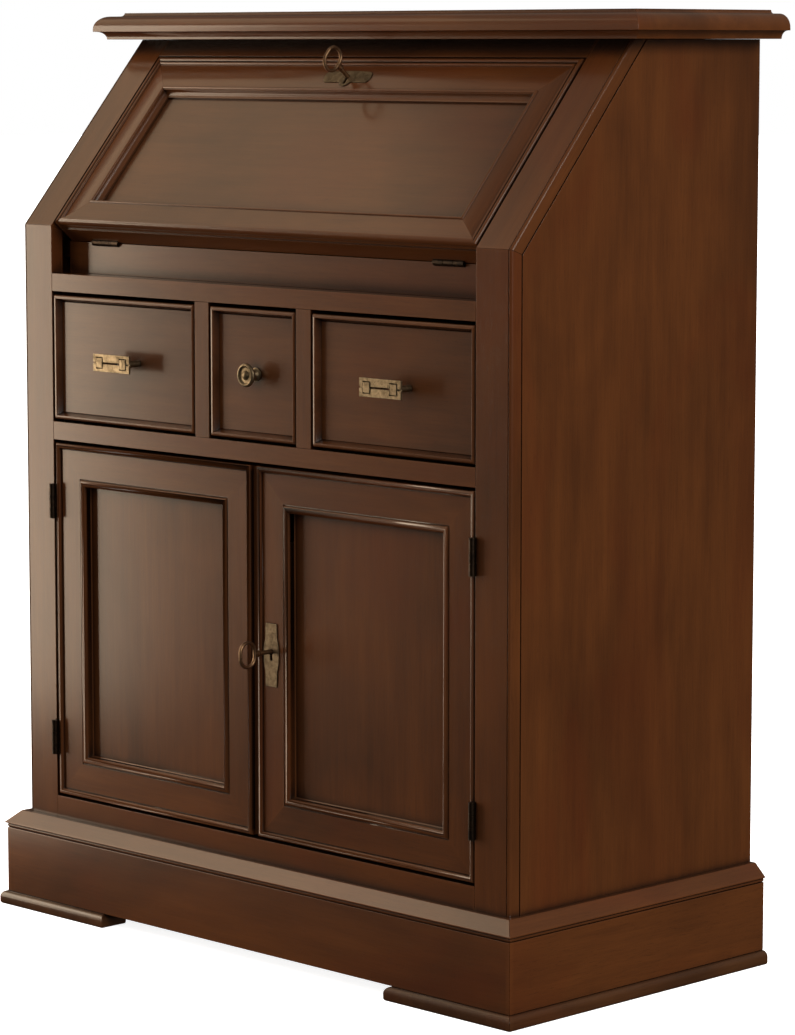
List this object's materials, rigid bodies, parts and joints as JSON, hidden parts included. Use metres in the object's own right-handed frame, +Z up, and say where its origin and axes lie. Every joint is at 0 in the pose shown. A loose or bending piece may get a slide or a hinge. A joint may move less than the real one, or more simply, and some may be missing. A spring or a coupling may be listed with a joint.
{
  "type": "secretary desk",
  "caption": "Drop-front writing desk with a sloping locked flap on folding stays, a row of small drawers and a two-door cupboard on a moulded plinth.",
  "frame": {"origin": "on the floor, in the middle of the rectangle the whole desk covers, keys included", "axes": "+Z up, -Y is the front, +X to the right of a person facing the desk"},
  "size_m": [0.864, 0.4314, 1.046],
  "materials": {
    "stained_wood": "dark walnut-coloured stain under satin lacquer, darker in the grooves",
    "inner_wood": "plain inside wood, lightly sealed",
    "antique_brass": "aged brass, brushed and slightly tarnished",
    "aged_plate": "dull olive-brown aged brass plate",
    "dark_bronze": "dark bronze, worn on the edges"
  },
  "bodies": {
    "carcass": {"top_board": "stained_wood", "side_panel_left": "stained_wood", "side_panel_right": "stained_wood", "back_panel": "inner_wood", "front_stile_left": "stained_wood", "front_stile_right": "stained_wood", "slope_stile_left": "stained_wood", "slope_stile_right": "stained_wood", "slope_header": "stained_wood", "hinge_rail": "stained_wood", "upper_rail": "stained_wood", "middle_rail": "stained_wood", "bottom_rail": "stained_wood", "writing_floor": "stained_wood", "pigeonhole_insert": "inner_wood", "drawer_deck": "inner_wood", "drawer_dividers": "stained_wood", "drawer_guides": "inner_wood", "cupboard_floor": "inner_wood", "cupboard_shelf": "inner_wood", "shelf_pins": "antique_brass", "base_moulding_front": "stained_wood", "base_moulding_sides": "stained_wood", "plinth_front": "stained_wood", "plinth_sides": "stained_wood", "foot_left": "stained_wood", "foot_right": "stained_wood", "flap_hinge_leaves": "dark_bronze", "door_hinge_leaves": "dark_bronze", "stay_brackets": "antique_brass", "door_catch": "dark_bronze"},
    "flap": {"flap_frame": "stained_wood", "flap_panel": "stained_wood", "flap_hinges": "dark_bronze", "flap_escutcheon": "aged_plate", "flap_lock": "antique_brass", "flap_stay_brackets": "antique_brass"},
    "flap_bolt": {"flap_lock_bolt": "antique_brass"},
    "flap_key": {"flap_key": "dark_bronze"},
    "stay_lower_arms": {"stay_lower_arms": "antique_brass"},
    "stay_upper_arms": {"stay_upper_arms": "antique_brass"},
    "drawer_left": {"drawer_left_front": "stained_wood", "drawer_left_box": "inner_wood", "drawer_left_pull": "antique_brass"},
    "drawer_middle": {"drawer_middle_front": "stained_wood", "drawer_middle_box": "inner_wood", "drawer_middle_knob": "antique_brass"},
    "drawer_right": {"drawer_right_front": "stained_wood", "drawer_right_box": "inner_wood", "drawer_right_pull": "antique_brass"},
    "door_left": {"door_left_frame": "stained_wood", "door_left_panel": "stained_wood", "door_left_hinges": "dark_bronze"},
    "door_right": {"door_right_frame": "stained_wood", "door_right_panel": "stained_wood", "door_right_hinges": "dark_bronze", "door_escutcheon": "aged_plate", "door_lock": "antique_brass"},
    "door_bolt": {"door_lock_bolt": "antique_brass"},
    "door_key": {"door_key": "dark_bronze"}
  },
  "joints": [
    {"name": "flap_hinge", "type": "hinge", "parent": "carcass", "child": "flap", "pos_m": [0, -0.14367, 0.784], "axis": [1, 0, 0], "range_deg": [0, 130.72]},
    {"name": "stay_lower_pivot", "type": "hinge", "parent": "carcass", "child": "stay_lower_arms", "pos_m": [0, 0.03633, 0.796], "axis": [1, 0, 0], "range_deg": [0, 130.73]},
    {"name": "stay_upper_pivot", "type": "hinge", "parent": "flap", "child": "stay_upper_arms", "pos_m": [0, -0.04097, 0.89333], "axis": [1, 0, 0], "range_deg": [-130.73, 0]},
    {"name": "drawer_left_slide", "type": "slide", "parent": "carcass", "child": "drawer_left", "axis": [0, -1, 0], "range_m": [0, 0.24]},
    {"name": "drawer_middle_slide", "type": "slide", "parent": "carcass", "child": "drawer_middle", "axis": [0, -1, 0], "range_m": [0, 0.24]},
    {"name": "drawer_right_slide", "type": "slide", "parent": "carcass", "child": "drawer_right", "axis": [0, -1, 0], "range_m": [0, 0.24]},
    {"name": "door_left_hinge", "type": "hinge", "parent": "carcass", "child": "door_left", "pos_m": [-0.339, -0.17495, 0.345], "axis": [0, 0, -1], "range_deg": [0, 110]},
    {"name": "door_right_hinge", "type": "hinge", "parent": "carcass", "child": "door_right", "pos_m": [0.339, -0.17495, 0.345], "axis": [0, 0, 1], "range_deg": [0, 110]},
    {"name": "door_bolt_slide", "type": "slide", "parent": "door_right", "child": "door_bolt", "axis": [-1, 0, 0], "range_m": [0, 0.016]},
    {"name": "door_key_turn", "type": "hinge", "parent": "door_right", "child": "door_key", "pos_m": [0.026, -0.16725, 0.349], "axis": [0, 1, 0], "range_deg": [0, 180]},
    {"name": "flap_bolt_slide", "type": "slide", "parent": "flap", "child": "flap_bolt", "axis": [0, 0.6524, 0.7579], "range_m": [0, 0.008]},
    {"name": "flap_key_turn", "type": "hinge", "parent": "flap", "child": "flap_key", "pos_m": [0, -0.02478, 0.97314], "axis": [0, 0.7579, -0.6524], "range_deg": [0, 180]}
  ],
  "couplings": [
    {"joint": "stay_lower_pivot", "follows": "flap_hinge", "ratio": 1},
    {"joint": "stay_upper_pivot", "follows": "flap_hinge", "ratio": -1},
    {"joint": "door_key_turn", "follows": "door_bolt_slide", "rad_per_m": 196.34},
    {"joint": "flap_key_turn", "follows": "flap_bolt_slide", "rad_per_m": 392.69}
  ]
}
